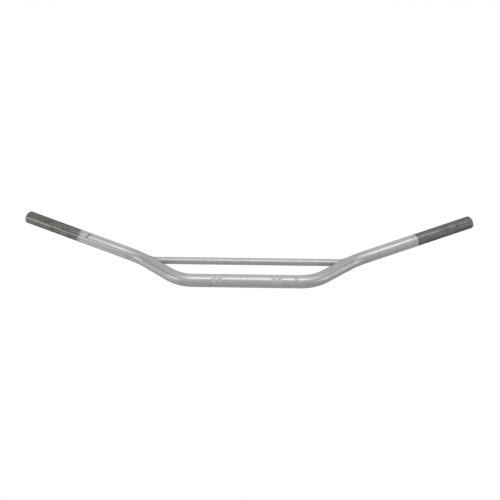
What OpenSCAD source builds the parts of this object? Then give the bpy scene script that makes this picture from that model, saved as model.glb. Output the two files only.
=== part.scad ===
// Handlebar with a straight crossbar, in millimetres.
// +X is the rider's right, +Y is forwards, +Z is up, and the origin is the centre of the clamp stretch.

/* [Main tube] */
// Width over both open ends
overall_w = 800; // [740:1:840]
// Outside diameter of the main tube
tube_d = 22.2; // [22:0.1:22.4]
// Wall thickness of the main tube
tube_wall = 2; // [1.6:0.1:2.6]
// Centreline radius of all four bends
bend_r = 75; // [60:1:90]
// Radius on the outer edge of each open end
end_edge_r = 1.4; // [0.4:0.1:1.4]
// Width of the broken edge round the mouth of the bore
mouth_edge = 0.35; // [0.1:0.05:0.5]

/* [Shape of the bends] */
// Distance between the corners of the two inner bends
inner_span = 226.6; // [210:0.2:250]
// Distance between the corners of the two outer bends
outer_span = 384.6; // [370:0.2:400]
// How far the outer bends stand above the clamp stretch
rise = 47.8; // [40:0.2:56]
// How far the outer bends lean back behind the clamp stretch
lean_back = 26.6; // [20:0.2:34]
// Backward sweep of the grip ends, seen from above
sweep = 18.6; // [14:0.1:24]
// Upward slope of the grip ends
upsweep = 5; // [3:0.5:7]

/* [Knurled bands] */
// Distance of each band's middle from the centre of the bar
band_at = 50.5; // [48:0.5:53]
// Width of a band, over both of its stripes
band_w = 16.8; // [15:0.1:18]
// Width of the plain gap between a band's two stripes
band_gap = 2; // [1:0.1:3]
// Number of teeth round the tube
teeth = 60; // [48:1:72]
// Depth of the grooves between the teeth
groove_depth = 0.25; // [0.1:0.05:0.4]

/* [Crossbar] */
// Outside diameter of the crossbar
crossbar_d = 12.7; // [12:0.1:14]
// Wall thickness of the crossbar
crossbar_wall = 1.5; // [1:0.1:2]
// Where the crossbar's axis meets the rising stretch, as a share of its length
crossbar_at = 0.883; // [0.85:0.001:0.89]

/* [Weld beads] */
// Length of the bead's leg along the crossbar
leg_on_crossbar = 3; // [2:0.1:5]
// Height of the bead's leg on the main tube
leg_on_tube = 1.8; // [1.2:0.1:3]
// How far the bead's face bulges
bead_crown = 0.5; // [0.3:0.1:1]
// Number of ripples round a bead
ripples = 16; // [12:1:20]
// Height of a ripple
ripple_h = 0.25; // [0:0.05:0.5]

/* [Hidden] */
$fn = 96;

tube_r = tube_d / 2;
bore_r = tube_r - tube_wall;
crossbar_r = crossbar_d / 2;
bend_draw = 0.02;       // each surface of the wall is drawn in by this much in a bend
lap_angle = 0.08;       // each bend runs this far into the straight tube at both ends
tooth_top = 0.02;       // the teeth's crests stand this far below the plain tube
fit_gap = 0.03;         // clearance of the saddle and the beads' flat facets from the main tube's wall
seat_points = 4;        // points across the seat of a bead
steps_per_ripple = 4;
face_points = 5;        // points across the face of a bead
edge_points = 4;        // points on the rounded outer edge of an open end
seat_steps = 24;        // halvings in the search for a point on the main tube's surface

// Directions of the three straight stretches on the rider's right, and the corners between them
along_clamp = [1, 0, 0];
corner_1 = [inner_span / 2, 0, 0];
corner_2 = [outer_span / 2, -lean_back, rise];
rise_span = norm(corner_2 - corner_1);
along_rise = (corner_2 - corner_1) / rise_span;
along_grip = unit([1, -tan(sweep), tan(upsweep) / cos(sweep)]);

// The tilted, rounded rim of an open end reaches further out than the centre of its face
rim_reach = (tube_r - end_edge_r) * sqrt(1 - pow(along_grip[0], 2)) + end_edge_r * (1 - along_grip[0]);
end_x = overall_w / 2 - rim_reach;
grip_span = (end_x - corner_2[0]) / along_grip[0];
angle_1 = acos(along_clamp * along_rise);
angle_2 = acos(along_rise * along_grip);
setback_1 = bend_r * tan(angle_1 / 2);
setback_2 = bend_r * tan(angle_2 / 2);
clamp_end = corner_1[0] - setback_1;
joint_at = corner_1 + along_rise * rise_span * crossbar_at;

function unit(v) = v / norm(v);
function across(from, to) = unit(to - from * (from * to));

// Places children so that their +Z runs along a direction from a point
module along(point, direction, side) {
    x = across(direction, side);
    y = cross(direction, x);
    multmatrix([
        [x[0], y[0], direction[0], point[0]],
        [x[1], y[1], direction[1], point[1]],
        [x[2], y[2], direction[2], point[2]],
        [0, 0, 0, 1]]) children();
}

// Both sides of the bar
module both_sides() {
    children();
    mirror([1, 0, 0]) children();
}

// The tube's cross-section, its wall drawn in by a little where it is bent
module tube_ring(drawn_in = 0) {
    difference() {
        circle(r = tube_r - drawn_in);
        circle(r = bore_r + drawn_in);
    }
}

module straight_tube(point, direction, length) {
    along(point, direction, [0, 0, 1])
        linear_extrude(height = length) tube_ring();
}

// A length of tube with straight teeth rolled into its surface
module knurled_tube(point, direction, length) {
    crest = tube_r - tooth_top;
    star = [for (i = [0 : 2 * teeth - 1])
        (i % 2 == 0 ? crest : crest - groove_depth) * [cos(180 * i / teeth), sin(180 * i / teeth)]];
    along(point, direction, [0, 0, 1])
        linear_extrude(height = length)
            difference() {
                polygon(star);
                circle(r = bore_r);
            }
}

// The middle of the bar, with two knurled stripes a side
module clamp_stretch() {
    marks = [band_at - band_w / 2, band_at - band_gap / 2, band_at + band_gap / 2, band_at + band_w / 2];
    straight_tube([-marks[0], 0, 0], along_clamp, 2 * marks[0]);
    both_sides() {
        knurled_tube([marks[0], 0, 0], along_clamp, marks[1] - marks[0]);
        straight_tube([marks[1], 0, 0], along_clamp, marks[2] - marks[1]);
        knurled_tube([marks[2], 0, 0], along_clamp, marks[3] - marks[2]);
        straight_tube([marks[3], 0, 0], along_clamp, clamp_end - marks[3]);
    }
}

// Sweeps children round a bend at a corner, from one direction to the next
module round_bend(corner, from, to, angle, setback) {
    inwards = across(from, to);
    start = corner - from * setback;
    centre = start + inwards * bend_r;
    axis = cross(-inwards, from);
    multmatrix([
        [-inwards[0], from[0], axis[0], centre[0]],
        [-inwards[1], from[1], axis[1], centre[1]],
        [-inwards[2], from[2], axis[2], centre[2]],
        [0, 0, 0, 1]])
        rotate_extrude(angle = angle + 2 * lap_angle, start = -lap_angle)
            translate([bend_r, 0]) children();
}

// The grip end, whose outer edge is rounded and whose inner edge is broken
module grip_end(point, direction, length) {
    edge = [for (i = [0 : edge_points])
        let (a = 90 * i / edge_points)
        [tube_r - end_edge_r + end_edge_r * cos(a), length - end_edge_r + end_edge_r * sin(a)]];
    along(point, direction, [0, 0, 1])
        rotate_extrude()
            polygon(concat(
                [[bore_r, 0], [tube_r, 0]],
                edge,
                [[bore_r + mouth_edge, length], [bore_r, length - mouth_edge]]));
}

module main_tube() {
    rise_length = rise_span - setback_1 - setback_2;
    color("silver") union() {
        clamp_stretch();
        both_sides() {
            round_bend(corner_1, along_clamp, along_rise, angle_1, setback_1) tube_ring(bend_draw);
            straight_tube(corner_1 + along_rise * setback_1, along_rise, rise_length);
            round_bend(corner_2, along_rise, along_grip, angle_2, setback_2) tube_ring(bend_draw);
            grip_end(corner_2 + along_grip * setback_2, along_grip, grip_span - setback_2);
        }
    }
}

// The right-hand rising stretch as a solid bar, up to the outer bend
module rise_bar() {
    along(corner_1, along_rise, [0, 0, 1])
        cylinder(r = tube_r + fit_gap, h = rise_span - setback_2);
}

// The right-hand outer bend as a solid bar
module outer_bend_bar() {
    round_bend(corner_2, along_rise, along_grip, angle_2, setback_2) circle(r = tube_r + fit_gap);
}

// A straight tube whose ends are cut to a saddle that seats on the main tube
module crossbar() {
    half = joint_at[0];
    color("silver") difference() {
        translate([-half, joint_at[1], joint_at[2]]) rotate([0, 90, 0])
            linear_extrude(height = 2 * half)
                difference() {
                    circle(r = crossbar_r);
                    circle(r = crossbar_r - crossbar_wall);
                }
        both_sides() rise_bar();
        both_sides() outer_bend_bar();
    }
}

// How far a point lies from the main tube's centreline, on the rising stretch or in the outer bend
function off_centreline(p) =
    let (
        bend_start = corner_2 - along_rise * setback_2,
        inwards = across(along_rise, along_grip),
        axis = cross(inwards, along_rise),
        from_centre = p - bend_start - inwards * bend_r,
        sideways = from_centre * axis,
        outwards = norm(from_centre - axis * sideways)
    )
    (p - bend_start) * along_rise < 0 ? norm(cross(p - bend_start, along_rise))
        : norm([outwards - bend_r, sideways]);

// Halves a stretch parallel to the crossbar until it ends on the main tube's surface
function on_surface(p, step, left) =
    left == 0 ? p
        : on_surface(off_centreline(p) > tube_r + fit_gap ? p + [step, 0, 0] : p - [step, 0, 0],
            step / 2, left - 1);

// Where a line parallel to the crossbar, at a radius and an angle round its axis, meets the main tube
function seat(radius, a) =
    let (
        offset = [0, radius * cos(a), radius * sin(a)],
        nearest = (offset * along_rise) * along_rise[0] / (1 - along_rise[0] * along_rise[0])
    )
    on_surface(joint_at + offset + [nearest - 2 * tube_r, 0, 0], tube_r, seat_steps);

// One section through a bead: up the crossbar, over the crowned face and back along the main tube
function bead_section(a) =
    let (
        swell = ripple_h * abs(sin(a * ripples / 2)),
        inner = crossbar_r + fit_gap,
        root = seat(inner, a),
        foot = seat(inner + leg_on_tube, a),
        tip = root - [leg_on_crossbar, 0, 0],
        face = unit(cross(foot - tip, cross(root - tip, foot - tip)))
    )
    concat(
        [root],
        [for (i = [0 : face_points - 1])
            let (t = i / (face_points - 1))
            tip + (foot - tip) * t - face * (bead_crown + swell) * sin(180 * t)],
        [for (i = [seat_points - 1 : -1 : 1]) seat(inner + leg_on_tube * i / seat_points, a)]);

// The weld metal round the right-hand end of the crossbar
module weld_bead() {
    rings = ripples * steps_per_ripple;
    count = face_points + seat_points;
    points = [for (i = [0 : rings - 1]) each bead_section(360 * i / rings)];
    faces = [for (i = [0 : rings - 1]) for (j = [0 : count - 1])
        let (
            next_i = (i + 1) % rings,
            next_j = (j + 1) % count,
            corners = [i * count + j, i * count + next_j, next_i * count + next_j, next_i * count + j]
        )
        each [[corners[0], corners[1], corners[2]], [corners[0], corners[2], corners[3]]]];
    color("gainsboro") polyhedron(points = points, faces = faces, convexity = 6);
}

module weld_bead_right() {
    weld_bead();
}

module weld_bead_left() {
    mirror([1, 0, 0]) weld_bead();
}

main_tube();
crossbar();
weld_bead_left();
weld_bead_right();
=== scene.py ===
"""A worn silver handlebar with a welded crossbar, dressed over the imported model.

Every length of the object is in millimetres, as in its source, and becomes metres when a mesh is made.
The bar keeps its own frame: +X is the rider's right, +Y is forwards, +Z is up, and the origin is the
centre of the clamp stretch. Materials read the vector attribute "straight": where a point of the
surface would be if its tube were unbent, as (distance along the tube, towards -Z at the centre,
towards +Y at the centre), in millimetres.
"""

import logging
import math
from dataclasses import dataclass, field
from enum import Enum
from typing import Any, Iterable, Optional, Sequence, Union

import bmesh
import bpy
from mathutils import Matrix, Quaternion, Vector


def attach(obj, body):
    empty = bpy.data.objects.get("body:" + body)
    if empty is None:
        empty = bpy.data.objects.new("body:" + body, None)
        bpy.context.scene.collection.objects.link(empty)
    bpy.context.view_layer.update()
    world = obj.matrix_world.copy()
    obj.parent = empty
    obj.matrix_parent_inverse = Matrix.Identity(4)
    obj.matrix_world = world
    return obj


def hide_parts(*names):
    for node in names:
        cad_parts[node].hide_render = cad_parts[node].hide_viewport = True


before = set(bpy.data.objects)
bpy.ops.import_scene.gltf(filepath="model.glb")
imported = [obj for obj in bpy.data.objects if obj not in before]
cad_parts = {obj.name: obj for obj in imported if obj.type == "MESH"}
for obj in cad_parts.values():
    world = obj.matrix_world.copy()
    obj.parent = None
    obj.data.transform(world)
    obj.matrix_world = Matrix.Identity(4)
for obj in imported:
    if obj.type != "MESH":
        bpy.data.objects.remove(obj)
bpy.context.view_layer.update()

MM = 0.001
STRAIGHT = "straight"

log = logging.getLogger("handlebar")

Socket = bpy.types.NodeSocket
Value = Union[float, int, tuple, Socket]
Colour = tuple[float, float, float]
Triple = tuple[float, float, float]
Look = tuple[Socket, Socket, Socket]
Ring = Sequence[Vector]


class Side(Enum):
    """The rider's side of the bar that a piece is on."""

    LEFT = -1
    RIGHT = 1


class Zone(Enum):
    """The shapes that a mark on a tube can have."""

    SPOT = "spot"
    ARC = "arc"
    RING = "ring"


@dataclass(frozen=True)
class BarSizes:
    """Sizes of the bar, in millimetres and degrees.

    Attributes:
        overall_w: Width of the bar over its open ends.
        tube_d: Outside diameter of the main tube.
        tube_wall: Wall of the main tube.
        bend_r: Radius of every bend, to the centreline.
        end_edge_r: Radius of the outer edge at an open end.
        inner_span: Distance between the inner corners of the centreline.
        outer_span: Distance between the outer corners of the centreline.
        rise: Height of the outer corners over the clamp stretch.
        lean_back: Distance of the outer corners behind the clamp stretch.
        sweep: Angle that a grip stretch sweeps back.
        upsweep: Angle that a grip stretch slopes up.
        bend_draw: Loss of radius where the wall is bent.
        crossbar_at: Share of the rise, from its inner corner, where the crossbar's axis meets it.
        crossbar_d: Outside diameter of the crossbar.
        seat_gap: Clearance that the crossbar and the beads keep from the main tube.
        band_at: Distance of each knurled band's middle from the middle of the bar.
        band_w: Width of a band over both of its stripes.
        band_gap: Plain width between the two stripes.
    """

    overall_w: float = 800.0
    tube_d: float = 22.2
    tube_wall: float = 2.0
    bend_r: float = 75.0
    end_edge_r: float = 1.4
    inner_span: float = 226.6
    outer_span: float = 384.6
    rise: float = 47.8
    lean_back: float = 26.6
    sweep: float = 18.6
    upsweep: float = 5.0
    bend_draw: float = 0.02
    crossbar_at: float = 0.883
    crossbar_d: float = 12.7
    seat_gap: float = 0.03
    band_at: float = 50.5
    band_w: float = 16.8
    band_gap: float = 2.0

    @property
    def tube_r(self) -> float:
        """Outside radius of the main tube."""
        return self.tube_d / 2

    @property
    def bore_r(self) -> float:
        """Radius of the main tube's bore."""
        return self.tube_r - self.tube_wall

    @property
    def crossbar_r(self) -> float:
        """Outside radius of the crossbar."""
        return self.crossbar_d / 2


@dataclass(frozen=True)
class Place:
    """A point of the centreline with the directions along and across the tube there."""

    centre: Vector
    tangent: Vector
    normal: Vector

    @property
    def binormal(self) -> Vector:
        """The second direction across the tube."""
        return self.tangent.cross(self.normal)


@dataclass(frozen=True)
class Stretch:
    """One straight or bent length of the centreline, on the rider's right.

    Attributes:
        begin: Distance of its start from the middle of the bar, in millimetres.
        length: Its length, in millimetres.
        start: The place where it starts.
        axis: The direction that it turns round, or None for a straight.
        radius: Radius of the bend, in millimetres.
    """

    begin: float
    length: float
    start: Place
    axis: Optional[Vector] = None
    radius: float = 0.0

    def at(self, along: float) -> Place:
        """Finds a place on the stretch.

        Args:
            along: Distance from the middle of the bar, in millimetres.

        Returns:
            The place there.
        """
        run = along - self.begin
        if self.axis is None:
            return Place(self.start.centre + self.start.tangent * run, self.start.tangent, self.start.normal)
        turn = Quaternion(self.axis, run / self.radius)
        arm = self.axis.cross(self.start.tangent) * -self.radius
        return Place(
            self.start.centre - arm + turn @ arm,
            turn @ self.start.tangent,
            turn @ self.start.normal,
        )


class Centreline:
    """The main tube's centreline: three straights joined by two round bends on each side.

    Attributes:
        OUTER_BEND: Number of the outer bend among the stretches, from 0.
        SLACK: Rounding allowed at the end of a stretch, in millimetres.
    """

    OUTER_BEND = 3
    SLACK = 1e-6

    def __init__(self, sizes: BarSizes) -> None:
        """Works the stretches out from the corners.

        Args:
            sizes: Sizes of the bar.
        """
        self.sizes = sizes
        s = sizes
        clamp = Vector((1.0, 0.0, 0.0))
        self.corner_1 = Vector((s.inner_span / 2, 0.0, 0.0))
        self.corner_2 = Vector((s.outer_span / 2, -s.lean_back, s.rise))
        self.rise_span = (self.corner_2 - self.corner_1).length
        self.along_rise = (self.corner_2 - self.corner_1).normalized()
        sweep, upsweep = math.radians(s.sweep), math.radians(s.upsweep)
        self.along_grip = Vector((1.0, -math.tan(sweep), math.tan(upsweep) / math.cos(sweep))).normalized()
        edge = s.end_edge_r
        reach = (s.tube_r - edge) * math.sqrt(1 - self.along_grip.x**2) + edge * (1 - self.along_grip.x)
        grip_span = (s.overall_w / 2 - reach - self.corner_2.x) / self.along_grip.x
        angle_1, angle_2 = clamp.angle(self.along_rise), self.along_rise.angle(self.along_grip)
        setback_1, setback_2 = s.bend_r * math.tan(angle_1 / 2), s.bend_r * math.tan(angle_2 / 2)
        self.joint_at = self.corner_1 + self.along_rise * self.rise_span * s.crossbar_at
        start = Place(Vector((0.0, 0.0, 0.0)), clamp, Vector((0.0, 0.0, -1.0)))
        self.stretches: list[Stretch] = []
        self._add(start, self.corner_1.x - setback_1)
        self._add(self.end_place, s.bend_r * angle_1, self.along_rise)
        self._add(self.end_place, self.rise_span - setback_1 - setback_2)
        self._add(self.end_place, s.bend_r * angle_2, self.along_grip)
        self._add(self.end_place, grip_span - setback_2)

    def _add(self, start: Place, length: float, turn_to: Optional[Vector] = None) -> None:
        """Adds a stretch after the last one, bent if it turns to a new direction."""
        axis = start.tangent.cross(turn_to).normalized() if turn_to is not None else None
        self.stretches.append(Stretch(self.half_length, length, start, axis, self.sizes.bend_r))

    @property
    def half_length(self) -> float:
        """Length of the centreline from the middle to an open end."""
        return self.stretches[-1].begin + self.stretches[-1].length if self.stretches else 0.0

    @property
    def end_place(self) -> Place:
        """The place where the last stretch ends."""
        return self.stretches[-1].at(self.half_length)

    def at(self, along: float) -> Place:
        """Finds a place on either side of the bar.

        Args:
            along: Distance from the middle, in millimetres, negative on the rider's left.

        Returns:
            The place there, mirrored on the left, so that both sides have the same directions across.
        """
        far = min(abs(along), self.half_length)
        stretch = next(s for s in self.stretches if far <= s.begin + s.length + self.SLACK)
        here = stretch.at(abs(along))
        if along >= 0:
            return here
        flip = Matrix.Diagonal((-1.0, 1.0, 1.0))
        return Place(flip @ here.centre, -(flip @ here.tangent), flip @ here.normal)

    def off_centreline(self, point: Vector) -> float:
        """Measures how far a point is from the centreline, on the right-hand rise or in the outer bend.

        Args:
            point: The point, in millimetres.

        Returns:
            The distance.
        """
        bend = self.stretches[self.OUTER_BEND]
        from_start = point - bend.start.centre
        if from_start.dot(self.along_rise) < 0:
            return from_start.cross(self.along_rise).length
        axis = bend.axis or Vector()
        from_centre = from_start - axis.cross(self.along_rise) * bend.radius
        sideways = from_centre.dot(axis)
        return math.hypot((from_centre - axis * sideways).length - bend.radius, sideways)


def find_seat(line: Centreline, radius: float, angle: float, halvings: int = 30) -> Vector:
    """Finds where a line parallel to the crossbar meets the right-hand side of the main tube.

    Args:
        line: The main tube's centreline.
        radius: Distance of the line from the crossbar's axis, in millimetres.
        angle: Angle of the line round that axis, in radians, from +Y towards +Z.
        halvings: Number of times that the search halves its span.

    Returns:
        The point at the seats' clearance over the main tube's surface.
    """
    offset = Vector((0.0, radius * math.cos(angle), radius * math.sin(angle)))
    slope = line.along_rise.x
    inside = offset.dot(line.along_rise) * slope / (1 - slope * slope)
    outside = inside - 2 * line.sizes.tube_r
    wanted = line.sizes.tube_r + line.sizes.seat_gap
    for _ in range(halvings):
        middle = (inside + outside) / 2
        if line.off_centreline(line.joint_at + offset + Vector((middle, 0, 0))) > wanted:
            outside = middle
        else:
            inside = middle
    return line.joint_at + offset + Vector((outside, 0.0, 0.0))


@dataclass(frozen=True)
class Grain:
    """A noise pattern.

    Attributes:
        scale: Scale of the pattern, per unit of its coordinates.
        detail: Number of finer layers.
        rough: Strength of the finer layers.
        stretch: Scale of the coordinates that it reads, or None to read them as they are.
        shift: Shift of those coordinates.
    """

    scale: float
    detail: float = 3.0
    rough: float = 0.55
    stretch: Optional[Triple] = None
    shift: Triple = (0.0, 0.0, 0.0)


@dataclass(frozen=True)
class Fade:
    """How a pattern becomes a share: the level where it starts, where it is full, and both results."""

    low: float
    high: float
    full: float = 1.0
    start: float = 0.0


class Wiring:
    """Adds and joins the nodes of one tree."""

    def __init__(self, tree: bpy.types.NodeTree) -> None:
        """Starts on a tree.

        Args:
            tree: A shader or geometry node tree.
        """
        self.tree = tree

    @classmethod
    def fresh(cls, owner: Union[bpy.types.Material, bpy.types.World]) -> "Wiring":
        """Empties the tree of a material or a world and starts on it.

        Args:
            owner: The material or world.

        Returns:
            Its wiring.
        """
        owner.use_nodes = True
        owner.node_tree.nodes.clear()
        return cls(owner.node_tree)

    def node(self, kind: str, inputs: Optional[dict] = None, **settings: Any) -> bpy.types.Node:
        """Adds a node.

        Args:
            kind: The node's type name.
            inputs: Values or sockets for its inputs, by name or place.
            settings: Properties to set on the node.

        Returns:
            The new node.
        """
        made = self.tree.nodes.new(kind)
        for name, value in settings.items():
            setattr(made, name, value)
        for name, value in (inputs or {}).items():
            self.feed(made.inputs[name], value)
        return made

    def feed(self, socket: Socket, value: Value) -> None:
        """Links a socket to an input, or sets its value.

        Args:
            socket: The input.
            value: A socket to link, or a plain value.
        """
        if isinstance(value, Socket):
            self.tree.links.new(value, socket)
        else:
            socket.default_value = value

    def math(self, operation: str, *values: Value) -> Socket:
        """Adds a Math node.

        Args:
            operation: Name of its operation.
            values: Its inputs in order.

        Returns:
            The result.
        """
        return self.node("ShaderNodeMath", dict(enumerate(values)), operation=operation).outputs[0]

    def vector_math(self, operation: str, *values: Value) -> Socket:
        """Adds a Vector Math node.

        Args:
            operation: Name of its operation.
            values: Its inputs in order.

        Returns:
            The result, a number for a dot product and a vector otherwise.
        """
        made = self.node("ShaderNodeVectorMath", dict(enumerate(values)), operation=operation)
        return made.outputs["Value" if operation == "DOT_PRODUCT" else "Vector"]

    def ramp(self, value: Value, low: float, high: float, to_low: float = 0.0,
             to_high: float = 1.0) -> Socket:
        """Maps a value smoothly from one range to another, clamped at both ends.

        Args:
            value: The value.
            low: Start of its range.
            high: End of its range.
            to_low: Result at the start.
            to_high: Result at the end.

        Returns:
            The mapped value.
        """
        made = self.node("ShaderNodeMapRange", interpolation_type="SMOOTHSTEP")
        for socket, item in zip(made.inputs, (value, low, high, to_low, to_high)):
            self.feed(socket, item)
        return made.outputs[0]

    def fade(self, value: Value, fade: Fade) -> Socket:
        """Maps a pattern to a share as a fade says."""
        return self.ramp(value, fade.low, fade.high, fade.start, fade.full)

    def within(self, value: Value, low: float, high: float, soft: float) -> Socket:
        """Covers the values between two limits.

        Args:
            value: The value.
            low: The lower limit.
            high: The upper limit.
            soft: Half the width over which the cover fades at each limit.

        Returns:
            The cover, from 0 to 1.
        """
        over_low = self.ramp(value, low - soft, low + soft)
        under_high = self.ramp(value, high - soft, high + soft, 1.0, 0.0)
        return self.math("MULTIPLY", over_low, under_high)

    def add_share(self, value: Value, share: Socket, amount: float) -> Socket:
        """Adds a share of an amount to a value."""
        return self.math("ADD", value, self.math("MULTIPLY", share, amount))

    def mix(self, factor: Value, a: Value, b: Value, blend: str = "MIX") -> Socket:
        """Mixes two colours.

        Args:
            factor: Share of the second colour.
            a: First colour.
            b: Second colour.
            blend: Way of mixing.

        Returns:
            The mixed colour.
        """
        made = self.node("ShaderNodeMix", data_type="RGBA", blend_type=blend)
        colour = [s for s in made.inputs if s.type == "RGBA"]
        self.feed(made.inputs[0], factor)
        for socket, item in zip(colour, (a, b)):
            self.feed(socket, (*item, 1.0) if isinstance(item, tuple) and len(item) == 3 else item)
        return next(s for s in made.outputs if s.type == "RGBA")

    def noise(self, vector: Value, grain: Grain) -> Socket:
        """Adds a noise pattern.

        Args:
            vector: Coordinates to read.
            grain: The pattern.

        Returns:
            The pattern's value, about 0.5 on average.
        """
        if grain.stretch is not None:
            placing = {"Vector": vector, "Scale": grain.stretch, "Location": grain.shift}
            vector = self.node("ShaderNodeMapping", placing).outputs["Vector"]
        looks = {"Vector": vector, "Scale": grain.scale, "Detail": grain.detail, "Roughness": grain.rough}
        return self.node("ShaderNodeTexNoise", looks).outputs["Fac"]

    def about_zero(self, vector: Value, grain: Grain) -> Socket:
        """Adds a noise pattern that is 0 on average."""
        return self.math("SUBTRACT", self.noise(vector, grain), 0.5)


@dataclass(frozen=True)
class Mark:
    """A spot, arc or ring on a tube's surface.

    Attributes:
        zone: Spot, arc part of the way round the tube, or ring right round it.
        along: Distance along the tube of its middle, in millimetres.
        angle: Angle of its middle round the tube, in degrees, 0 towards -Z and 90 towards +Y.
        length: Half its size along the tube, in millimetres.
        width: Half its size round the tube, in millimetres.
        strength: How much of the surface it covers there, from 0 to 1.
        colour: Colour of the mark.
        slant: Drift of the mark along the tube for each radian round it, in millimetres.
    """

    zone: Zone
    along: float
    angle: float
    length: float
    width: float = 1.0
    strength: float = 0.8
    colour: Colour = (0.03, 0.03, 0.028)
    slant: float = 0.0


class Surface:
    """Coordinates on a tube that its finishes share.

    Attributes:
        SOLID_TO: Share of a mark's size at which its cover starts to fade.
        CLEAR_FROM: Share of its size at which the cover has gone.
    """

    SOLID_TO = 0.55
    CLEAR_FROM = 1.15

    def __init__(self, wiring: Wiring) -> None:
        """Reads the unbent position.

        Args:
            wiring: The material's nodes.
        """
        self.wiring = wiring
        w = wiring
        self.vector = w.node("ShaderNodeAttribute", attribute_name=STRAIGHT).outputs["Vector"]
        parts = w.node("ShaderNodeSeparateXYZ", {0: self.vector}).outputs
        self.along = parts[0]
        self.radius = self._length(parts[1], parts[2])

    def _length(self, a: Socket, b: Socket) -> Socket:
        """Length of the hypotenuse over two sides."""
        w = self.wiring
        return w.math("SQRT", w.math("ADD", w.math("POWER", a, 2.0), w.math("POWER", b, 2.0)))

    def around(self, angle: float) -> Socket:
        """Measures the angle round the tube.

        Args:
            angle: Angle to measure from, in degrees, 0 towards -Z and 90 towards +Y.

        Returns:
            The angle from there, in radians, from -pi to pi.
        """
        w, a = self.wiring, math.radians(angle)
        ahead = w.vector_math("DOT_PRODUCT", self.vector, (0.0, math.cos(a), math.sin(a)))
        aside = w.vector_math("DOT_PRODUCT", self.vector, (0.0, -math.sin(a), math.cos(a)))
        return w.math("ARCTAN2", aside, ahead)

    def cover(self, mark: Mark, wobble: Value) -> Socket:
        """Covers a mark's place.

        Args:
            mark: The mark.
            wobble: A pattern about 0 that breaks its edge.

        Returns:
            Its cover, from 0 to its strength.
        """
        w = self.wiring
        turn = self.around(mark.angle)
        middle = w.math("ADD", mark.along, w.math("MULTIPLY", turn, mark.slant))
        run = w.math("DIVIDE", w.math("SUBTRACT", self.along, middle), mark.length)
        far = w.math("ABSOLUTE", run)
        if mark.zone is not Zone.RING:
            side = w.math("ABSOLUTE", w.math("DIVIDE", w.math("MULTIPLY", turn, self.radius), mark.width))
            far = w.math("MAXIMUM", far, side) if mark.zone is Zone.ARC else self._length(run, side)
        return w.ramp(w.math("ADD", far, wobble), self.SOLID_TO, self.CLEAR_FROM, mark.strength, 0.0)


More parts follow.
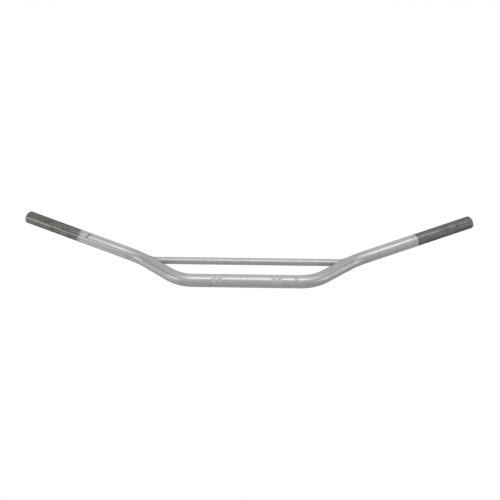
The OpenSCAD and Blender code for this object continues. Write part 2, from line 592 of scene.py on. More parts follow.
@dataclass(frozen=True)
class SilverPaint:
    """Satin silver paint on a tube, with cool and warm tints, speckle, fine streaks and marks.

    Attributes:
        name: Name of the material.
        base: Colour of most of the paint.
        cool: Colour where the broad pattern is high.
        warm: Colour where the tone pattern is high.
        speckle_tint: Colour of the pale flakes.
        streak_tint: Colour of the dark streaks along the tube.
        metallic: Metallic share.
        roughness: Roughness on average.
        edge_tint: Tint of the reflection at grazing angles.
        peel: Height of the paint's unevenness, in millimetres.
        fine_peel: Share of that height which the speckle has.
        wobble: How far the edge pattern moves a mark's edge, as a share of the mark's size.
        marks: Marks on the paint, in the order in which they are laid.
        broad: Pattern of the cool patches.
        tone: Pattern of the warm patches.
        speckle: Pattern of the pale flakes, which also have their own roughness and height.
        streak: Pattern of the streaks along the tube, which also change its roughness.
        pits: Pattern of the paint's unevenness.
        edges: Pattern that breaks the edges of marks.
        cool_fade: How the cool patches fade in, and likewise for warm, speckle, streak and rough.
    """

    name: str
    base: Colour = (0.432, 0.437, 0.435)
    cool: Colour = (0.418, 0.428, 0.443)
    warm: Colour = (0.442, 0.44, 0.422)
    speckle_tint: Colour = (0.6, 0.605, 0.595)
    streak_tint: Colour = (0.3, 0.302, 0.298)
    metallic: float = 0.8
    roughness: float = 0.37
    edge_tint: Colour = (0.0, 0.0, 0.0)
    peel: float = 0.035
    fine_peel: float = 0.25
    wobble: float = 0.9
    marks: tuple[Mark, ...] = ()
    broad: Grain = Grain(0.035, 2.0)
    tone: Grain = Grain(0.11, stretch=(1.0, 1.0, 1.0), shift=(40.0, 0.0, 0.0))
    speckle: Grain = Grain(1.4, 4.0, 0.6)
    streak: Grain = Grain(0.9, 4.0, 0.6, stretch=(0.05, 1.0, 1.0))
    pits: Grain = Grain(0.55, 3.0, 0.6)
    edges: Grain = Grain(1.1)
    cool_fade: Fade = Fade(0.42, 0.62)
    warm_fade: Fade = Fade(0.5, 0.72, 0.8)
    speckle_fade: Fade = Fade(0.3, 0.72, 0.3)
    streak_fade: Fade = Fade(0.56, 0.74, 0.14)
    rough_fade: Fade = Fade(0.3, 0.75, 0.06, start=-0.03)

    def material(self) -> bpy.types.Material:
        """Builds the material.

        Returns:
            The new material.
        """
        made = bpy.data.materials.new(self.name)
        w = Wiring.fresh(made)
        surface = Surface(w)
        colour, rough, height = self.wear(w, surface, self.paint(w, surface))
        bump = w.node("ShaderNodeBump", {"Height": height, "Strength": 1.0, "Distance": MM})
        shader = w.node(
            "ShaderNodeBsdfPrincipled",
            {
                "Base Color": colour,
                "Metallic": self.metallic,
                "Roughness": rough,
                "Specular Tint": (*self.edge_tint, 1.0),
                "Normal": bump.outputs["Normal"],
            },
        )
        w.node("ShaderNodeOutputMaterial", {"Surface": shader.outputs[0]})
        return made

    def paint(self, w: Wiring, surface: Surface) -> Look:
        """Makes the clean paint.

        Args:
            w: The material's nodes.
            surface: Coordinates on the tube.

        Returns:
            Its colour, roughness and height in millimetres.
        """
        speckle = w.noise(surface.vector, self.speckle)
        streak = w.noise(surface.vector, self.streak)
        colour = w.mix(w.fade(w.noise(surface.vector, self.broad), self.cool_fade), self.base, self.cool)
        colour = w.mix(w.fade(w.noise(surface.vector, self.tone), self.warm_fade), colour, self.warm)
        colour = w.mix(w.fade(speckle, self.speckle_fade), colour, self.speckle_tint)
        colour = w.mix(w.fade(streak, self.streak_fade), colour, self.streak_tint)
        rough = w.math("ADD", self.roughness, w.fade(streak, self.rough_fade))
        rough = w.math("ADD", rough, w.fade(speckle, self.rough_fade))
        height = w.math("MULTIPLY", w.noise(surface.vector, self.pits), self.peel)
        return colour, rough, w.add_share(height, speckle, self.peel * self.fine_peel)

    def wear(self, w: Wiring, surface: Surface, look: Look) -> Look:
        """Lays the marks over the paint.

        Args:
            w: The material's nodes.
            surface: Coordinates on the tube.
            look: Colour, roughness and height of the paint.

        Returns:
            Colour, roughness and height with the marks.
        """
        colour, rough, height = look
        wobble = w.math("MULTIPLY", w.about_zero(surface.vector, self.edges), self.wobble)
        for mark in self.marks:
            colour = w.mix(surface.cover(mark, wobble), colour, mark.colour)
        return colour, rough, height


@dataclass(frozen=True)
class GripTrace:
    """What a lost grip left on the tube: where its zone starts and how broken that edge is.

    Attributes:
        edge: Distance of the edge along the tube from the middle, in millimetres.
        ragged: How far the edge's pattern moves it, in millimetres.
        soft: Half the width over which it fades, in millimetres.
        bulge: How much nearer to the middle it is on one side of the tube, in millimetres.
        bulge_angle: Where round the tube that is, in degrees, 0 towards -Z and 90 towards +Y.
    """

    edge: float
    ragged: float
    soft: float
    bulge: float = 0.0
    bulge_angle: float = 0.0

    def cover(self, w: Wiring, surface: Surface, past: Socket, pattern: Socket) -> Socket:
        """Covers the zone beyond the edge.

        Args:
            w: The material's nodes.
            surface: Coordinates on the tube.
            past: Distance from the middle towards this grip, in millimetres.
            pattern: A pattern about 0 that breaks the edge.

        Returns:
            The cover, from 0 to 1.
        """
        over = w.math("SUBTRACT", past, self.edge)
        if self.bulge:
            facing = w.math("MAXIMUM", w.math("COSINE", surface.around(self.bulge_angle)), 0.0)
            over = w.add_share(over, facing, self.bulge)
        return w.ramp(w.add_share(over, pattern, self.ragged), -self.soft, self.soft)


@dataclass(frozen=True)
class WornTubePaint(SilverPaint):
    """The main tube's paint: worn dark where grips have been, matt on the knurl, rougher and darkened by
    painted shade on the rises.

    Attributes:
        sizes: Sizes of the bar.
        left_grip: Trace of the left grip, with a feathered edge.
        right_grip: Trace of the right grip, with a crisp edge.
        grip_break: Pattern that breaks both of those edges.
        worn: Colour of the grips' traces, with worn_light in smears and bare in patches.
        worn_cool: Tint of the right-hand trace near its edge.
        cool_in: Distances along the tube, in millimetres, between which that tint comes in.
        cool_out: Distances between which it goes out again.
        grip_rough: Change of roughness in the traces.
        rises: Where the rougher paint starts and ends, from the middle, in millimetres.
        rise_soft: Half the length over which it fades at each end, in millimetres.
        rise_lumps: Pattern of its lumps, rise_height millimetres high.
        rise_rough: Change of roughness there.
        rise_painted_shade: Painted shade on the rises, which darkens the paint there.
        band_clear: Half the width between a band's stripes that keeps its paint, in millimetres.
        band_soft: Half the width over which a stripe's finish fades, in millimetres.
        band_rough: Change of roughness in a stripe.
        band_share: Share of band_tint in a stripe.
        bore_edge: Distances outside the bore's radius, in millimetres, between which rust gives way to paint.
        bore_rough: Change of roughness in the bore.
        rust_dark: Colour of the rust in the bore, with rust_light in patches.
    """

    sizes: BarSizes = BarSizes()
    left_grip: GripTrace = GripTrace(325.5, 14.0, 5.0, bulge=4.5, bulge_angle=-22.0)
    right_grip: GripTrace = GripTrace(321.2, 1.6, 0.6)
    grip_break: Grain = Grain(0.35, 4.0)
    worn: Colour = (0.165, 0.168, 0.157)
    worn_light: Colour = (0.21, 0.213, 0.195)
    bare: Colour = (0.09, 0.092, 0.084)
    worn_cool: Colour = (0.97, 1.0, 1.04)
    cool_in: tuple[float, float] = (0.0, 300.0)
    cool_out: tuple[float, float] = (360.0, 405.0)
    smear: Grain = Grain(0.35, 4.0, 0.6, stretch=(0.12, 1.0, 1.0))
    smear_fade: Fade = Fade(0.45, 0.68)
    patch: Grain = Grain(0.09)
    bare_fade: Fade = Fade(0.5, 0.7, 0.7)
    grip_rough: float = -0.04
    rises: tuple[float, float] = (100.0, 232.0)
    rise_soft: float = 8.0
    rise_lumps: Grain = Grain(0.3, 4.0, 0.65)
    rise_height: float = 0.3
    rise_rough: float = 0.05
    rise_painted_shade: Colour = (0.9, 0.9, 0.9)
    band_clear: float = 1.3
    band_soft: float = 0.3
    band_rough: float = 0.12
    band_share: float = 0.35
    band_tint: Colour = (0.5, 0.515, 0.53)
    bore_edge: tuple[float, float] = (0.05, 0.45)
    bore_rough: float = 0.3
    rust_dark: Colour = (0.05, 0.04, 0.033)
    rust_light: Colour = (0.09, 0.055, 0.035)
    rust_fade: Fade = Fade(0.4, 0.65)

    def wear(self, w: Wiring, surface: Surface, look: Look) -> Look:
        """Lays the rises, the knurl, the grip zones, the marks and the bore over the paint.

        Args:
            w: The material's nodes.
            surface: Coordinates on the tube.
            look: Colour, roughness and height of the paint.

        Returns:
            Colour, roughness and height of the worn tube.
        """
        far = w.math("ABSOLUTE", surface.along)
        patch = w.noise(surface.vector, self.patch)
        look = self.rise_wear(w, surface, far, look)
        look = self.band_wear(w, far, look)
        look = self.grip_wear(w, surface, patch, look)
        colour, rough, height = super().wear(w, surface, look)
        inner, outer = (self.sizes.bore_r + edge for edge in self.bore_edge)
        in_bore = w.ramp(surface.radius, inner, outer, 1.0, 0.0)
        rust = w.mix(w.fade(patch, self.rust_fade), self.rust_dark, self.rust_light)
        return w.mix(in_bore, colour, rust), w.add_share(rough, in_bore, self.bore_rough), height

    def rise_wear(self, w: Wiring, surface: Surface, far: Socket, look: Look) -> Look:
        """Lays lumpier paint on the rises, slightly darkened by painted shade.

        Args:
            w: The material's nodes.
            surface: Coordinates on the tube.
            far: Distance from the middle along the tube, on either side.
            look: Colour, roughness and height so far.

        Returns:
            Colour, roughness and height with the rises.
        """
        colour, rough, height = look
        on_rise = w.within(far, *self.rises, self.rise_soft)
        lumps = w.math("MULTIPLY", w.noise(surface.vector, self.rise_lumps), on_rise)
        height = w.add_share(height, lumps, self.rise_height)
        # Painted shade: multiplies the colour on the rises to darken it.
        colour = w.mix(on_rise, colour, self.rise_painted_shade, "MULTIPLY")
        return colour, w.add_share(rough, on_rise, self.rise_rough), height

    def band_wear(self, w: Wiring, far: Socket, look: Look) -> Look:
        """Makes the stripes of the knurled bands paler and matt.

        Args:
            w: The material's nodes.
            far: Distance from the middle along the tube, on either side.
            look: Colour, roughness and height so far.

        Returns:
            Colour, roughness and height with the bands.
        """
        colour, rough, height = look
        off_band = w.math("ABSOLUTE", w.math("SUBTRACT", far, self.sizes.band_at))
        knurl = w.within(off_band, self.band_clear, self.sizes.band_w / 2, self.band_soft)
        colour = w.mix(w.math("MULTIPLY", knurl, self.band_share), colour, self.band_tint)
        return colour, w.add_share(rough, knurl, self.band_rough), height

    def grip_wear(self, w: Wiring, surface: Surface, patch: Socket, look: Look) -> Look:
        """Lays the dark, smeared and patchy traces of both grips.

        Args:
            w: The material's nodes.
            surface: Coordinates on the tube.
            patch: The pattern of the bare patches.
            look: Colour, roughness and height so far.

        Returns:
            Colour, roughness and height with the traces.
        """
        colour, rough, height = look
        pattern = w.about_zero(surface.vector, self.grip_break)
        leftwards = w.math("MULTIPLY", surface.along, -1.0)
        left = self.left_grip.cover(w, surface, leftwards, pattern)
        right = self.right_grip.cover(w, surface, surface.along, pattern)
        cover = w.math("MAXIMUM", left, right)
        smear = w.noise(surface.vector, self.smear)
        dark = w.mix(w.fade(smear, self.smear_fade), self.worn, self.worn_light)
        dark = w.mix(w.fade(patch, self.bare_fade), dark, self.bare)
        cool_end = w.ramp(surface.along, *self.cool_out, 1.0, 0.0)
        near_right = w.math("MULTIPLY", w.ramp(surface.along, *self.cool_in), cool_end)
        dark = w.mix(near_right, dark, self.worn_cool, "MULTIPLY")
        return w.mix(cover, colour, dark), w.add_share(rough, cover, self.grip_rough), height


@dataclass(frozen=True)
class PaleFloor:
    """A plain pale studio floor with a faint unevenness."""

    name: str = "studio_floor"
    colour: Colour = (0.86, 0.86, 0.855)
    light: Colour = (0.88, 0.88, 0.875)
    roughness: float = 0.9
    clouds: Grain = Grain(3.0)
    cloud_fade: Fade = Fade(0.3, 0.7)

    def material(self) -> bpy.types.Material:
        """Builds the material.

        Returns:
            The new material.
        """
        made = bpy.data.materials.new(self.name)
        w = Wiring.fresh(made)
        clouds = w.noise(w.node("ShaderNodeTexCoord").outputs["Object"], self.clouds)
        tone = w.mix(w.fade(clouds, self.cloud_fade), self.colour, self.light)
        shader = w.node("ShaderNodeBsdfPrincipled", {"Base Color": tone, "Roughness": self.roughness})
        w.node("ShaderNodeOutputMaterial", {"Surface": shader.outputs[0]})
        return made


def add_object(name: str, data: bpy.types.ID) -> bpy.types.Object:
    """Adds an object to the scene, at the origin.

    Args:
        name: Name of the object.
        data: Its mesh, lamp or camera.

    Returns:
        The new object.
    """
    made = bpy.data.objects.new(name, data)
    bpy.context.scene.collection.objects.link(made)
    return made


def stand(thing: bpy.types.Object, place: Triple, axes: Sequence[Vector]) -> None:
    """Stands a lamp or camera in the scene.

    Args:
        thing: The lamp or camera.
        place: Where it stands, in metres.
        axes: Its right, up and backward directions.
    """
    turn = Matrix(axes).transposed().to_4x4()
    thing.matrix_world = Matrix.Translation(place) @ turn


def keep(mesh: bpy.types.Mesh, name: str, node: str) -> bpy.types.Object:
    """Shows a finished mesh as a piece of the object.

    Args:
        mesh: The mesh, in metres, in the row frame.
        name: Name of the piece.
        node: The CAD node that it stands for.

    Returns:
        The piece.
    """
    form = bmesh.new()
    form.from_mesh(mesh)
    if form.calc_volume(signed=True) < 0:
        bmesh.ops.reverse_faces(form, faces=form.faces[:])
    form.to_mesh(mesh)
    form.free()
    piece = add_object(name, mesh)
    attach(piece, "root")
    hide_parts(node)
    log.info("%s: %d faces, stands for %s", name, len(mesh.polygons), node)
    return piece


def along_x(ring: Ring, factor: float) -> list[Vector]:
    """Scales a ring's points along X only."""
    return [Vector((p.x * factor, p.y, p.z)) for p in ring]


def lofted(name: str, rings: Sequence[Ring], joint: Vector, closed: bool,
           material: bpy.types.Material) -> bpy.types.Mesh:
    """Joins rings of points round the crossbar's axis into a smooth closed surface.

    Args:
        name: Name of the mesh.
        rings: Rings of points in millimetres, all of the same count.
        joint: A point of the crossbar's axis, which is parallel to X.
        closed: Whether the last ring joins the first; otherwise both ends are closed by a fan.
        material: Finish of the mesh.

    Returns:
        The mesh, in metres.
    """
    count = len(rings[0])
    points = [p for ring in rings for p in ring]
    faces: list[tuple[int, ...]] = []
    for i in range(len(rings) if closed else len(rings) - 1):
        a, b = i * count, (i + 1) % len(rings) * count
        faces += [(a + j, a + (j + 1) % count, b + (j + 1) % count, b + j) for j in range(count)]
    if not closed:
        for first, order in ((0, -1), ((len(rings) - 1) * count, 1)):
            points.append(sum((points[k] for k in range(first, first + count)), Vector()) / count)
            hub = len(points) - 1
            faces += [(first + j, first + (j + 1) % count, hub)[::order] for j in range(count)]
    mesh = bpy.data.meshes.new(name)
    mesh.from_pydata([p * MM for p in points], [], faces)
    mesh.polygons.foreach_set("use_smooth", [True] * len(mesh.polygons))
    store = mesh.attributes.new(STRAIGHT, "FLOAT_VECTOR", "POINT")
    unbent = [(p.x, joint.z - p.z, p.y - joint.y) for p in points]
    store.data.foreach_set("vector", [c for p in unbent for c in p])
    mesh.materials.append(material)
    mesh.update()
    return mesh


@dataclass(frozen=True)
class Station:
    """One ring of the main tube's wall.

    Attributes:
        along: Distance along the tube, in millimetres.
        radius: Radius of the ring, in millimetres.
        knurl: Share of the full knurl there, from 0 to 1.
    """

    along: float
    radius: float
    knurl: float = 0.0


class SweptWallTree:
    """Geometry Nodes that sweep a ring round each station of a closed wall and cut teeth into it.

    Attributes:
        VECTORS: Attributes of a station that are vectors.
        NUMBERS: Attributes of a station that are numbers.
        INPUTS: Names and kinds of the tree's inputs.
        HALF: Half a step, which rounds a row number safely and is the middle of a tooth.
        TOOTH_PHASE: Turn of the teeth that keeps their edges off the rounding of a whole number.
        SEAM: Distance under which points are one, in metres.
    """

    VECTORS = ("centre", "normal", "binormal")
    NUMBERS = ("radius", "along", "knurl")
    INPUTS = (("Stations", "NodeSocketGeometry"), ("Points Around", "NodeSocketInt"),
              ("Teeth", "NodeSocketInt"), ("Tooth Top", "NodeSocketFloat"),
              ("Groove Depth", "NodeSocketFloat"), ("Finish", "NodeSocketMaterial"))
    HALF = 0.5
    TOOTH_PHASE = 0.0001
    SEAM = 1e-6

    def __init__(self) -> None:
        """Makes the empty tree and its named inputs."""
        self.tree = bpy.data.node_groups.new("swept_wall", "GeometryNodeTree")
        for name, kind in self.INPUTS:
            self.tree.interface.new_socket(name, in_out="INPUT", socket_type=kind)
        self.tree.interface.new_socket("Wall", in_out="OUTPUT", socket_type="NodeSocketGeometry")

    def build(self) -> bpy.types.NodeTree:
        """Wires the tree.

        Returns:
            The tree.
        """
        w = Wiring(self.tree)
        given = w.node("NodeGroupInput").outputs
        count = w.node("GeometryNodeAttributeDomainSize", {0: given["Stations"]}).outputs["Point Count"]
        around = given["Points Around"]
        row_size = w.math("ADD", around, 1.0)
        grid = w.node("GeometryNodeMeshGrid",
                      {"Vertices X": w.math("ADD", count, 1.0), "Vertices Y": row_size})
        index = w.node("GeometryNodeInputIndex").outputs[0]
        row = w.math("FLOOR", w.math("DIVIDE", w.math("ADD", index, self.HALF), row_size))
        column = w.math("SUBTRACT", index, w.math("MULTIPLY", row, row_size))
        station = w.math("FLOORED_MODULO", row, count)
        read = {name: self._read(w, given["Stations"], name, station) for name in self.VECTORS + self.NUMBERS}
        share = w.math("DIVIDE", column, around)
        turn = w.math("MULTIPLY", share, math.tau)
        cut = w.math("ADD", self._groove(w, share, given), given["Tooth Top"])
        radius = w.math("SUBTRACT", read["radius"], w.math("MULTIPLY", cut, read["knurl"]))
        first = w.math("MULTIPLY", radius, w.math("COSINE", turn))
        second = w.math("MULTIPLY", radius, w.math("SINE", turn))
        across = w.vector_math("ADD", self._scaled(w, read["normal"], first),
                               self._scaled(w, read["binormal"], second))
        place = w.vector_math("ADD", read["centre"], across)
        moved = w.node("GeometryNodeSetPosition", {"Geometry": grid.outputs["Mesh"], "Position": place})
        flat = w.node("ShaderNodeCombineXYZ", {0: read["along"], 1: w.math("MULTIPLY", first, 1 / MM),
                                               2: w.math("MULTIPLY", second, 1 / MM)})
        stored = w.node("GeometryNodeStoreNamedAttribute", data_type="FLOAT_VECTOR", domain="POINT")
        w.feed(stored.inputs["Geometry"], moved.outputs[0])
        w.feed(stored.inputs["Name"], STRAIGHT)
        w.feed(stored.inputs["Value"], flat.outputs[0])
        merged = w.node("GeometryNodeMergeByDistance", {"Geometry": stored.outputs[0], "Distance": self.SEAM})
        smooth = w.node("GeometryNodeSetShadeSmooth", {"Geometry": merged.outputs[0]})
        real = w.node("GeometryNodeRealizeInstances", {0: smooth.outputs[0]})
        finish = {"Geometry": real.outputs[0], "Material": given["Finish"]}
        dressed = w.node("GeometryNodeSetMaterial", finish)
        w.node("NodeGroupOutput", {"Wall": dressed.outputs[0]})
        return self.tree

    def _groove(self, w: Wiring, share: Socket, given: Any) -> Socket:
        """Draws the grooves between the teeth.

        Args:
            w: The tree's nodes.
            share: Share of the way round the tube.
            given: The tree's inputs.

        Returns:
            Depth of the groove there, in metres.
        """
        phase = w.math("ADD", w.math("MULTIPLY", share, given["Teeth"]), self.TOOTH_PHASE)
        wave = w.math("ABSOLUTE", w.math("SUBTRACT", w.math("FRACT", phase), self.HALF))
        depth = w.math("SUBTRACT", 1.0, w.math("DIVIDE", wave, self.HALF))
        return w.math("MULTIPLY", depth, given["Groove Depth"])

    def _read(self, w: Wiring, stations: Socket, name: str, index: Socket) -> Socket:
        """Reads an attribute of a station.

        Args:
            w: The tree's nodes.
            stations: The stations' points.
            name: Name of the attribute.
            index: Number of the station.

        Returns:
            The attribute's value.
        """
        kind = "FLOAT_VECTOR" if name in self.VECTORS else "FLOAT"
        held = w.node("GeometryNodeInputNamedAttribute", {"Name": name}, data_type=kind)
        sample = w.node("GeometryNodeSampleIndex", data_type=kind, domain="POINT")
        w.feed(sample.inputs["Geometry"], stations)
        w.feed(sample.inputs["Value"], held.outputs["Attribute"])
        w.feed(sample.inputs["Index"], index)
        return sample.outputs["Value"]

    @staticmethod
    def _scaled(w: Wiring, vector: Socket, factor: Socket) -> Socket:
        """Scales a vector by a number."""
        made = w.node("ShaderNodeVectorMath", {"Vector": vector, "Scale": factor}, operation="SCALE")
        return made.outputs["Vector"]


@dataclass
class MainTube:
    """The bent main tube with its open ends, bore and knurled bands.

    Attributes:
        line: The centreline.
        around: Points in each ring of the wall.
        teeth: Teeth of the knurl, right round the tube.
        tooth_top: How far the crests of the teeth lie below the plain tube, in millimetres.
        groove_depth: Depth of the grooves under those crests, in millimetres.
        bevel: Length over which a stripe's depth is reached, in millimetres.
        guard: Length of plain wall beside a stripe that keeps its shading apart, in millimetres.
        ease: Length over which a bend's thinner wall is reached, each side of its joint, in millimetres.
        edge_steps: Rings round the outer edge of an open end.
        bore_edge: Size of the broken edge round the mouth, in millimetres.
        edge_in: How far inside that edge its first ring lies, along the tube and across it.
        face_out: How far outside it the flat face's last ring lies, in millimetres.
        bore_end: Distance from an open end to the first plain ring of the bore, in millimetres.
        straight_step: Longest distance between rings on a straight, in millimetres.
        bend_step: Longest distance between rings in a bend, in millimetres.
        bore_straight_step: The same for a straight of the bore.
        bore_bend_step: The same for a bend of the bore.
    """

    line: Centreline
    around: int = 240
    teeth: int = 60
    tooth_top: float = 0.02
    groove_depth: float = 0.25
    bevel: float = 0.12
    guard: float = 0.5
    ease: float = 1.2
    edge_steps: int = 10
    bore_edge: float = 0.35
    edge_in: tuple[float, float] = (0.01, 0.02)
    face_out: float = 0.03
    bore_end: float = 1.5
    straight_step: float = 9.0
    bend_step: float = 1.9
    bore_straight_step: float = 40.0
    bore_bend_step: float = 4.0

    def stripe_edges(self) -> list[float]:
        """Lists the edges of the right-hand band's two stripes.

        Returns:
            Their distances from the middle of the bar, in order.
        """
        s = self.line.sizes
        halves = (-s.band_w / 2, -s.band_gap / 2, s.band_gap / 2, s.band_w / 2)
        return [s.band_at + half for half in halves]

    def stripe_stations(self, edges: Sequence[float]) -> list[Station]:
        """Lists the stations at the edges of the knurled stripes.

        Args:
            edges: The edges, of which the first and third start a stripe.

        Returns:
            A plain and a knurled station at each edge, and a plain guard beside it.
        """
        r = self.line.sizes.tube_r
        rows: list[Station] = []
        for i, edge in enumerate(edges):
            knurl = 1.0 if i % 2 == 0 else 0.0
            rows += [Station(edge - self.bevel * knurl, r, 1.0 - knurl),
                     Station(edge + self.bevel * (1.0 - knurl), r, knurl),
                     Station(edge + self.guard * (1.0 - 2.0 * knurl), r)]
        return rows

    def outside(self) -> list[Station]:
        """Lists the stations of the right-hand outer wall, with none crowding those at a stripe's edge.

        Returns:
            Stations from the middle to the start of the open end's rounded edge.
        """
        s, edges = self.line.sizes, self.stripe_edges()
        rows = self.stripe_stations(edges)
        last = len(self.line.stretches) - 1
        for n, stretch in enumerate(self.line.stretches):
            bent = stretch.axis is not None
            run = stretch.length - (s.end_edge_r if n == last else 0.0)
            steps = math.ceil(run / (self.bend_step if bent else self.straight_step))
            radius = s.tube_r - s.bend_draw if bent else s.tube_r
            laps = {0: self.ease if n > 0 else 0.0, steps: -self.ease if n < last else 0.0}
            for k in range(steps + 1):
                along = stretch.begin + run * k / steps
                if all(abs(along - edge) > 2 * self.guard for edge in edges):
                    in_stripe = any(edges[i] < along < edges[i + 1] for i in (0, 2))
                    rows.append(Station(along + laps.get(k, 0.0), radius, 1.0 if in_stripe else 0.0))
        return sorted(rows, key=lambda row: row.along)

    def rim(self) -> list[Station]:
        """Lists the stations round the right-hand open end.

        Returns:
            Stations round the outer edge, over the flat face and over the mouth's broken edge.
        """
        s, end = self.line.sizes, self.line.half_length
        edge, inner = s.end_edge_r, s.bore_r + self.bore_edge
        turns = [math.radians(90 * k / self.edge_steps) for k in range(1, self.edge_steps + 1)]
        rows = [Station(end - edge + edge * math.sin(a), s.tube_r - edge + edge * math.cos(a)) for a in turns]
        rows.append(Station(end, inner + self.face_out))
        rows.append(Station(end - self.edge_in[0], inner - self.edge_in[1]))
        return rows + [Station(end - self.bore_edge, s.bore_r)]

    def bore(self) -> list[Station]:
        """Lists the stations of the right-hand bore.

        Returns:
            Stations from the open end to the middle.
        """
        rows = []
        last = len(self.line.stretches) - 1
        for n, stretch in enumerate(self.line.stretches):
            longest = self.bore_straight_step if stretch.axis is None else self.bore_bend_step
            run = stretch.length - (self.bore_end if n == last else 0.0)
            steps = math.ceil(run / longest)
            rows += [Station(stretch.begin + run * k / steps, self.line.sizes.bore_r)
                     for k in range(0 if n == 0 else 1, steps + 1)]
        return rows[::-1]

    def stations(self) -> list[Station]:
        """Lists the stations of the whole wall.

        Returns:
            One closed loop: the right-hand outside, end and bore, and the same on the left.
        """
        right = self.outside() + self.rim() + self.bore()
        left = [Station(-row.along, row.radius, row.knurl) for row in right[1:-1]]
        return right + left[::-1]

    def seed(self) -> bpy.types.Mesh:
        """Makes the points that the Geometry Nodes sweep their rings round.

        Returns:
            A mesh of one point for each station, with the station's values as attributes.
        """
        rows = self.stations()
        places = [self.line.at(row.along) for row in rows]
        made = bpy.data.meshes.new("main_tube_stations")
        made.from_pydata([p.centre * MM for p in places], [], [])
        table = {
            "centre": [p.centre * MM for p in places],
            "normal": [p.normal for p in places],
            "binormal": [p.binormal for p in places],
            "radius": [row.radius * MM for row in rows],
            "along": [row.along for row in rows],
            "knurl": [row.knurl for row in rows],
        }
        for name, values in table.items():
            vector = name in SweptWallTree.VECTORS
            store = made.attributes.new(name, "FLOAT_VECTOR" if vector else "FLOAT", "POINT")
            flat = [c for v in values for c in v] if vector else values
            store.data.foreach_set("vector" if vector else "value", flat)
        return made

    def build(self, finish: WornTubePaint) -> bpy.types.Object:
        """Makes and dresses the main tube.

        Args:
            finish: Its paint.

        Returns:
            The piece.
        """
        holder = add_object("main_tube_stations", self.seed())
        tree = SweptWallTree().build()
        modifier = holder.modifiers.new("sweep", "NODES")
        modifier.node_group = tree
        given = {"Points Around": self.around, "Teeth": self.teeth, "Tooth Top": self.tooth_top * MM,
                 "Groove Depth": self.groove_depth * MM, "Finish": finish.material()}
        for item in tree.interface.items_tree:
            if item.item_type == "SOCKET" and item.name in given:
                modifier[item.identifier] = given[item.name]
        graph = bpy.context.evaluated_depsgraph_get()
        graph.update()
        mesh = bpy.data.meshes.new_from_object(holder.evaluated_get(graph), depsgraph=graph)
        mesh.name = "main_tube_skin"
        bpy.data.objects.remove(holder)
        return keep(mesh, "main_tube_skin", "main_tube")


@dataclass
class Crossbar:
    """The thin straight tube, cut to a saddle at each end.

    Attributes:
        line: The main tube's centreline.
        around: Points in each ring.
        rings: Steps along the tube.
        caps: Rings from the middle of each saddle to its edge.
        guard_share: Share of the half length where a ring keeps the saddle's shading apart.
    """

    line: Centreline
    around: int = 96
    rings: int = 60
    caps: int = 4
    guard_share: float = 0.997

    def build(self, finish: SilverPaint) -> bpy.types.Object:
        """Makes and dresses the crossbar.

        Args:
            finish: Its paint.

        Returns:
            The piece.
        """
        r = self.line.sizes.crossbar_r
        angles = [math.tau * j / self.around for j in range(self.around)]
        cap = [[find_seat(self.line, r * k / self.caps, a) for a in angles] for k in range(1, self.caps + 1)]
        shares = [2 * i / self.rings - 1 for i in range(1, self.rings)]
        rings = [along_x(ring, -1.0) for ring in cap]
        rings += [along_x(cap[-1], share) for share in (-self.guard_share, *shares, self.guard_share)]
        rings += cap[::-1]
        mesh = lofted("crossbar_skin", rings, self.line.joint_at, False, finish.material())
        return keep(mesh, "crossbar_skin", "crossbar")


@dataclass
class WeldBead:
    """The rippled weld metal round one end of the crossbar.

    Attributes:
        line: The main tube's centreline.
        side: The side of the bar that the bead is on.
        leg_on_crossbar: Length of the bead along the crossbar, in millimetres.
        leg_on_tube: Width of the bead on the main tube, in millimetres.
        crown: Height of its face over a flat one, in millimetres.
        ripples: Ripples right round it.
        ripple_h: Height of a ripple, in millimetres.
        steps: Sections in each ripple.
        face_points: Points over the face in each section.
        seat_points: Points along the main tube in each section.
    """

    line: Centreline
    side: Side
    leg_on_crossbar: float = 3.0
    leg_on_tube: float = 1.8
    crown: float = 0.5
    ripples: int = 16
    ripple_h: float = 0.25
    steps: int = 12
    face_points: int = 11
    seat_points: int = 5

    def section(self, angle: float) -> list[Vector]:
        """Draws one section of the bead.

        Args:
            angle: Angle round the crossbar, in radians.

        Returns:
            Points up the crossbar, over the crowned face and back along the main tube.
        """
        inner = self.line.sizes.crossbar_r + self.line.sizes.seat_gap
        root = find_seat(self.line, inner, angle)
        foot = find_seat(self.line, inner + self.leg_on_tube, angle)
        tip = root - Vector((self.leg_on_crossbar, 0.0, 0.0))
        span = foot - tip
        inwards = span.cross((root - tip).cross(span)).normalized()
        swell = self.crown + self.ripple_h * abs(math.sin(angle * self.ripples / 2))
        points = [root]
        for i in range(self.face_points):
            t = i / (self.face_points - 1)
            points.append(tip + span * t - inwards * swell * math.sin(math.pi * t))
        for i in range(self.seat_points - 1, 0, -1):
            radius = inner + self.leg_on_tube * i / self.seat_points
            points.append(find_seat(self.line, radius, angle))
        return points

    def build(self, finish: SilverPaint) -> bpy.types.Object:
        """Makes and dresses the bead.

        Args:
            finish: Its paint.

        Returns:
            The piece.
        """
        count = self.ripples * self.steps
        flip = float(self.side.value)
        rings = [along_x(self.section(math.tau * i / count), flip) for i in range(count)]
        name = f"weld_bead_{self.side.name.lower()}"
        mesh = lofted(name + "_skin", rings, self.line.joint_at, True, finish.material())
        return keep(mesh, name + "_skin", name)


@dataclass(frozen=True)
class Softbox:
    """A rectangular lamp that faces a point.

    Attributes:
        name: Name of the lamp.
        place: Where it stands, in metres.
        target: The point that it faces, in metres.
        size: Width and height, in metres.
        power: Power, in watts.
    """

    name: str
    place: Triple
    target: Triple
    size: tuple[float, float]
    power: float

    def build(self) -> bpy.types.Object:
        """Adds the lamp, its width along X.

        Returns:
            The lamp.
        """
        data = bpy.data.lights.new(self.name, "AREA")
        data.shape = "RECTANGLE"
        data.size, data.size_y = self.size
        data.energy = self.power
        back = (Vector(self.place) - Vector(self.target)).normalized()
        up = back.cross(Vector((1.0, 0.0, 0.0))).normalized()
        lamp = add_object(self.name, data)
        stand(lamp, self.place, (up.cross(back), up, back))
        return lamp


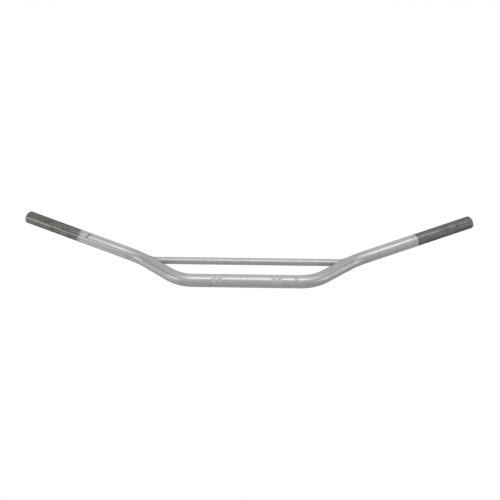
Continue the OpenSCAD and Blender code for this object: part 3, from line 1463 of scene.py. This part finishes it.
@dataclass
class Studio:
    """Floor, lamps, white surroundings and the camera.

    Attributes:
        floor_z: Height of the floor, in metres.
        floor_half: Half the floor's width, in metres.
        world_seen: Brightness of the surroundings that the camera and reflections see.
        world_fill: Brightness with which they light the bar.
        camera_place: Where the camera stands, in metres.
        camera_right: Direction of the picture's right.
        camera_up: Direction of the picture's top.
        lens_mm: Focal length of the camera.
        sensor_mm: Width of its sensor.
        clip: Nearest and farthest distance that it sees, in metres.
        lamps: The lamps.
    """

    floor_z: float = -1.05
    floor_half: float = 40.0
    world_seen: float = 1.0
    world_fill: float = 0.5
    camera_place: Triple = (0.01328, -0.18653, -0.61986)
    camera_right: Triple = (0.99984, -0.00980, 0.01509)
    camera_up: Triple = (-0.01274, -0.97772, 0.20953)
    lens_mm: float = 27.589
    sensor_mm: float = 36.0
    clip: tuple[float, float] = (0.01, 200.0)
    lamps: list[Softbox] = field(default_factory=lambda: [
        Softbox("key_box", (0.075, -0.86, -0.52), (0.075, 0.0, 0.0), (1.08, 0.48), 4.7),
        Softbox("left_spot", (-1.1, -0.19, -0.98), (-0.2, -0.03, 0.02), (0.3, 0.26), 1.8),
        Softbox("left_panel", (-1.85, -0.12, -0.52), (-0.15, -0.02, 0.02), (0.6, 0.6), 1.6),
        Softbox("right_panel", (1.75, -0.12, -0.72), (0.15, -0.02, 0.02), (0.6, 0.7), 4.2),
        Softbox("left_wash", (-0.95, 0.5, -0.1), (-0.2, -0.03, 0.03), (0.9, 0.9), 1.3),
        Softbox("left_back_box", (-0.75, 0.65, 1.5), (-0.15, 0.0, 0.02), (0.6, 0.6), 5.0),
        Softbox("back_box", (0.0, -0.9, 1.5), (0.0, 0.0, 0.0), (1.6, 0.8), 4.0),
        Softbox("far_box", (0.0, 1.1, 1.6), (0.0, 0.0, 0.0), (1.6, 0.8), 4.0),
    ])

    def build_floor(self) -> None:
        """Adds the pale floor, well under the bar."""
        h, z = self.floor_half, self.floor_z
        mesh = bpy.data.meshes.new("floor")
        mesh.from_pydata([(-h, -h, z), (h, -h, z), (h, h, z), (-h, h, z)], [], [(0, 1, 2, 3)])
        mesh.materials.append(PaleFloor().material())
        add_object("floor", mesh)

    def build_world(self) -> None:
        """Makes white surroundings, which light the bar at a plainer level than they look."""
        world = bpy.data.worlds.new("white_room")
        bpy.context.scene.world = world
        w = Wiring.fresh(world)
        path = w.node("ShaderNodeLightPath").outputs
        through = w.math("MAXIMUM", path["Is Glossy Ray"], path["Is Transmission Ray"])
        seen = w.math("MAXIMUM", path["Is Camera Ray"], through)
        white = (1.0, 1.0, 1.0, 1.0)
        fill, bright = (w.node("ShaderNodeBackground", {"Color": white, "Strength": level}).outputs[0]
                        for level in (self.world_fill, self.world_seen))
        both = w.node("ShaderNodeMixShader", {0: seen, 1: fill, 2: bright})
        w.node("ShaderNodeOutputWorld", {"Surface": both.outputs[0]})

    def build_camera(self) -> None:
        """Places the camera at the photograph's angle."""
        data = bpy.data.cameras.new("photo_camera")
        data.lens = self.lens_mm
        data.sensor_width = self.sensor_mm
        data.sensor_fit = "HORIZONTAL"
        data.clip_start, data.clip_end = self.clip
        camera = add_object("photo_camera", data)
        right, up = Vector(self.camera_right).normalized(), Vector(self.camera_up)
        up = (up - right * up.dot(right)).normalized()
        stand(camera, self.camera_place, (right, up, right.cross(up)))
        bpy.context.scene.camera = camera

    def build(self) -> None:
        """Builds the whole studio."""
        self.build_floor()
        self.build_world()
        self.build_camera()
        for lamp in self.lamps:
            lamp.build()
        bpy.context.scene.view_settings.view_transform = "Standard"
        log.info("studio: floor, surroundings, camera and %d lamps", len(self.lamps))


def tube_marks() -> tuple[Mark, ...]:
    """Lists the marks that the main tube shows, painted highlights among them.

    Returns:
        The marks, in the order in which they are laid.
    """
    dark, pale = (0.035, 0.034, 0.03), (0.6, 0.58, 0.5)
    painted_bend_highlight, painted_gap_highlight = (0.62, 0.622, 0.62), (0.68, 0.68, 0.68)
    return (
        Mark(Zone.ARC, -306.2, -52.0, 1.25, 6.8, 0.95, (0.055, 0.055, 0.05), slant=-3.6),
        Mark(Zone.RING, -313.5, 0.0, 5.0, strength=0.25, colour=(0.46, 0.455, 0.41), slant=-2.0),
        Mark(Zone.SPOT, -352.4, -28.0, 1.7, 1.5, 1.0, (0.012, 0.012, 0.01)),
        Mark(Zone.RING, 249.4, -52.0, 0.7, strength=0.4, colour=(0.18, 0.18, 0.17)),
        Mark(Zone.SPOT, 279.4, 14.0, 1.3, 1.1, 0.8, dark),
        Mark(Zone.RING, 318.6, -20.0, 1.6, strength=0.35, colour=(0.5, 0.52, 0.53)),
        Mark(Zone.ARC, 316.0, -30.0, 0.6, 9.0, 0.4, dark),
        Mark(Zone.ARC, 312.6, -30.0, 0.5, 7.0, 0.25, dark),
        Mark(Zone.SPOT, 412.6, -10.0, 3.6, 3.0, 0.5, dark),
        Mark(Zone.SPOT, 412.6, -10.0, 1.5, 1.3, 0.7, pale),
        Mark(Zone.SPOT, -58.8, 26.0, 1.6, 3.4, 0.4, (0.16, 0.16, 0.15)),
        Mark(Zone.SPOT, 82.5, -38.0, 4.2, 3.8, 0.6, (0.2, 0.2, 0.19)),
        # Painted highlights: pale spots in the plain gap between each band's two stripes.
        Mark(Zone.SPOT, 50.5, -37.0, 1.5, 2.6, 0.4, painted_gap_highlight),
        Mark(Zone.SPOT, -50.5, -39.0, 1.5, 2.6, 0.4, painted_gap_highlight),
        # Painted highlights: pale patches on the four bends that stand in for the glints of a lamp.
        Mark(Zone.SPOT, -204.0, -10.0, 12.0, 2.0, 0.65, painted_bend_highlight),
        Mark(Zone.SPOT, -122.0, -12.0, 15.0, 2.0, 0.65, painted_bend_highlight),
        Mark(Zone.SPOT, 125.0, -9.0, 13.0, 2.0, 0.5, painted_bend_highlight),
        Mark(Zone.SPOT, 208.0, -6.0, 14.0, 3.2, 0.5, painted_bend_highlight),
        Mark(Zone.RING, -415.0, 0.0, 14.0, strength=0.4, colour=(0.2, 0.206, 0.205)),
        Mark(Zone.SPOT, -10.5, -40.0, 0.5, 1.6, 0.6, dark),
        Mark(Zone.SPOT, -1.5, -40.0, 0.5, 1.6, 0.5, dark),
        Mark(Zone.SPOT, 1.0, -40.0, 0.5, 1.6, 0.5, dark),
    )


def main() -> None:
    """Builds the bar and its studio, piece by piece."""
    logging.basicConfig(level=logging.INFO, format="%(name)s: %(message)s")
    sizes = BarSizes()
    line = Centreline(sizes)
    MainTube(line).build(WornTubePaint("worn_silver_tube", marks=tube_marks(), sizes=sizes))
    Crossbar(line).build(SilverPaint("silver_crossbar", roughness=0.42, peel=0.02))
    weld = SilverPaint("silver_weld", base=(0.38, 0.385, 0.37), roughness=0.38, peel=0.2)
    for side in Side:
        WeldBead(line, side).build(weld)
    Studio().build()


if __name__ == "__main__":
    main()
